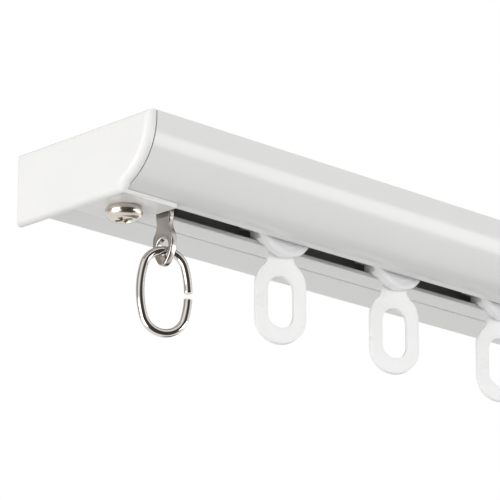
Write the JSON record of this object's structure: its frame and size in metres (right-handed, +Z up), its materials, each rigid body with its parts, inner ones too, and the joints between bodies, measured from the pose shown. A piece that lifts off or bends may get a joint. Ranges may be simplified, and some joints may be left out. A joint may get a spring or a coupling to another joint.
{
  "type": "ceiling curtain track",
  "caption": "White ceiling curtain track with a rounded front, capped ends, an end ring on a steel lug and sliding eyelet runners in the slot below.",
  "frame": {"origin": "middle of the top face that lies against the ceiling", "axes": "+X along the track away from the end with the ring, -Y towards the room and the rounded front, +Z up into the ceiling"},
  "size_m": [0.4048, 0.0426, 0.0427],
  "materials": {
    "track_paint": "gloss white powder coat on extruded aluminium",
    "cap_plastic": "satin white moulded plastic",
    "screw_nickel": "bright nickel plate",
    "lug_nickel": "nickel-plated strip steel",
    "plate_steel": "zinc-plated strip steel",
    "ring_nickel": "nickel-plated steel wire",
    "runner_plastic": "milky white moulded plastic"
  },
  "bodies": {
    "track": {"track_profile": "track_paint", "end_cap_left": "cap_plastic", "end_cap_right": "cap_plastic", "cap_screw_left": "screw_nickel", "cap_screw_right": "screw_nickel", "ring_lug": "lug_nickel", "clamp_plate": "plate_steel"},
    "ring": {"end_ring": "ring_nickel"},
    "runner_1": {"runner_1": "runner_plastic"},
    "runner_2": {"runner_2": "runner_plastic"},
    "runner_3": {"runner_3": "runner_plastic"},
    "runner_4": {"runner_4": "runner_plastic"},
    "runner_5": {"runner_5": "runner_plastic"}
  },
  "joints": [
    {"name": "ring_swing", "type": "hinge", "parent": "track", "child": "ring", "pos_m": [-0.1838, -0.00625, -0.02358], "axis": [0.9063, -0.4226, 0], "range_deg": [-75, 75]},
    {"name": "runner_1_slide", "type": "slide", "parent": "track", "child": "runner_1", "axis": [1, 0, 0], "range_m": [-0.017, 0.00745]},
    {"name": "runner_2_slide", "type": "slide", "parent": "track", "child": "runner_2", "axis": [1, 0, 0], "range_m": [-0.00745, 0.00745]},
    {"name": "runner_3_slide", "type": "slide", "parent": "track", "child": "runner_3", "axis": [1, 0, 0], "range_m": [-0.00745, 0.00745]},
    {"name": "runner_4_slide", "type": "slide", "parent": "track", "child": "runner_4", "axis": [1, 0, 0], "range_m": [-0.00745, 0.00745]},
    {"name": "runner_5_slide", "type": "slide", "parent": "track", "child": "runner_5", "axis": [1, 0, 0], "range_m": [-0.00745, 0.1787]}
  ]
}
